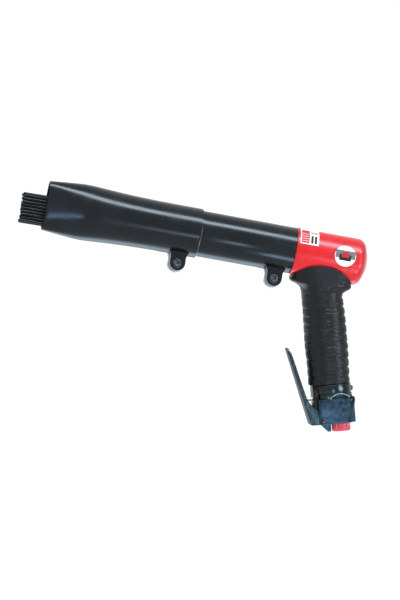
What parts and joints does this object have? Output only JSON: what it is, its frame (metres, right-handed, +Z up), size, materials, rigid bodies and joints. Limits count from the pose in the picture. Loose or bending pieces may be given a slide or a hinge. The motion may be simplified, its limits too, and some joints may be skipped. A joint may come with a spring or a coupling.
{
  "type": "pneumatic needle scaler",
  "caption": "Pistol-grip air hammer that strikes a bundle of steel needles: clamped black tubes with a flattened nose, red head, rubber grip, and a lever throttle over the air inlet.",
  "frame": {"origin": "centre of the tool's bounding box, on its middle plane", "axes": "+X from the needles back to the closed end of the head, along the barrel; +Z up, away from the grip; +Y to the tool's right side"},
  "size_m": [0.3716, 0.0498, 0.2004],
  "materials": {
    "tube_black": "glossy black lacquer on drawn steel tube",
    "head_red": "glossy red enamel on a casting",
    "collar_black": "glossy black",
    "grip_rubber": "satin ribbed rubber",
    "seal_rubber": "matte",
    "block_steel": "blued satin steel",
    "lever_steel": "satin pressed steel",
    "needle_steel": "oiled drawn wire",
    "bright_steel": "ground",
    "screw_steel": "blackened, worn",
    "label_white": "printed film",
    "plug_red": "moulded, soft gloss"
  },
  "bodies": {
    "handle": {"handle_body": "head_red", "grip_sleeve": "grip_rubber", "rear_tube": "tube_black", "rear_clamp_screw": "screw_steel", "cylinder": "bright_steel", "cylinder_gasket": "seal_rubber", "anvil_sleeve": "bright_steel", "anvil_buffer": "seal_rubber", "valve_seat": "bright_steel", "valve_cap": "bright_steel", "data_label": "label_white", "round_badge": "label_white", "exhaust_collar": "collar_black", "collar_screw": "screw_steel", "valve_block": "block_steel", "lever_pin": "bright_steel", "valve_plug": "screw_steel", "valve_clip": "screw_steel", "stem_seal": "seal_rubber", "inlet_bushing": "bright_steel", "inlet_strainer": "bright_steel", "throttle_spring": "bright_steel", "needle_spring": "bright_steel"},
    "nose": {"front_tube": "tube_black", "front_clamp_screw": "screw_steel"},
    "needle_pack": {"needle_holder": "bright_steel", "needle_01": "needle_steel", "needle_02": "needle_steel", "needle_03": "needle_steel", "needle_04": "needle_steel", "needle_05": "needle_steel", "needle_06": "needle_steel", "needle_07": "needle_steel", "needle_08": "needle_steel", "needle_09": "needle_steel", "needle_10": "needle_steel", "needle_11": "needle_steel", "needle_12": "needle_steel", "needle_13": "needle_steel", "needle_14": "needle_steel", "needle_15": "needle_steel", "needle_16": "needle_steel", "needle_17": "needle_steel", "needle_18": "needle_steel", "needle_19": "needle_steel", "needle_20": "needle_steel", "needle_21": "needle_steel", "needle_22": "needle_steel", "needle_23": "needle_steel", "needle_24": "needle_steel", "needle_25": "needle_steel", "needle_26": "needle_steel", "needle_27": "needle_steel", "needle_28": "needle_steel"},
    "piston": {"piston": "bright_steel"},
    "anvil": {"anvil": "bright_steel"},
    "valve_disc": {"valve_disc": "bright_steel"},
    "lever": {"throttle_lever": "lever_steel"},
    "stem": {"throttle_stem": "bright_steel"},
    "plug": {"inlet_plug": "plug_red"}
  },
  "joints": [
    {"name": "lever_pivot", "type": "hinge", "parent": "handle", "child": "lever", "pos_m": [0.15277, 0, -0.09069], "axis": [0, 1, 0], "range_deg": [0, 11], "stiffness_Nm_per_rad": 0.3, "springref_deg": -22.92},
    {"name": "stem_slide", "type": "slide", "parent": "handle", "child": "stem", "axis": [0.9636, 0, 0.2672], "range_m": [0, 0.005], "stiffness_N_per_m": 400, "springref_m": -0.006, "deforming": ["throttle_spring"]},
    {"name": "needle_stroke", "type": "slide", "parent": "handle", "child": "needle_pack", "axis": [-1, 0, 0], "range_m": [0, 0.01], "stiffness_N_per_m": 400, "springref_m": -0.03, "deforming": ["needle_spring"]},
    {"name": "piston_stroke", "type": "slide", "parent": "handle", "child": "piston", "axis": [-1, 0, 0], "range_m": [0, 0.03]},
    {"name": "anvil_stroke", "type": "slide", "parent": "handle", "child": "anvil", "axis": [-1, 0, 0], "range_m": [0, 0.003]},
    {"name": "valve_lift", "type": "slide", "parent": "handle", "child": "valve_disc", "axis": [1, 0, 0], "range_m": [0, 0.001]},
    {"name": "nose_slide", "type": "slide", "parent": "handle", "child": "nose", "axis": [-1, 0, 0], "range_m": [0, 0.02]},
    {"name": "plug_pull", "type": "slide", "parent": "handle", "child": "plug", "axis": [0.2672, 0, -0.9636], "range_m": [0, 0.012]}
  ],
  "couplings": [
    {"joint": "stem_slide", "follows": "lever_pivot", "m_per_rad": 0.0245}
  ]
}
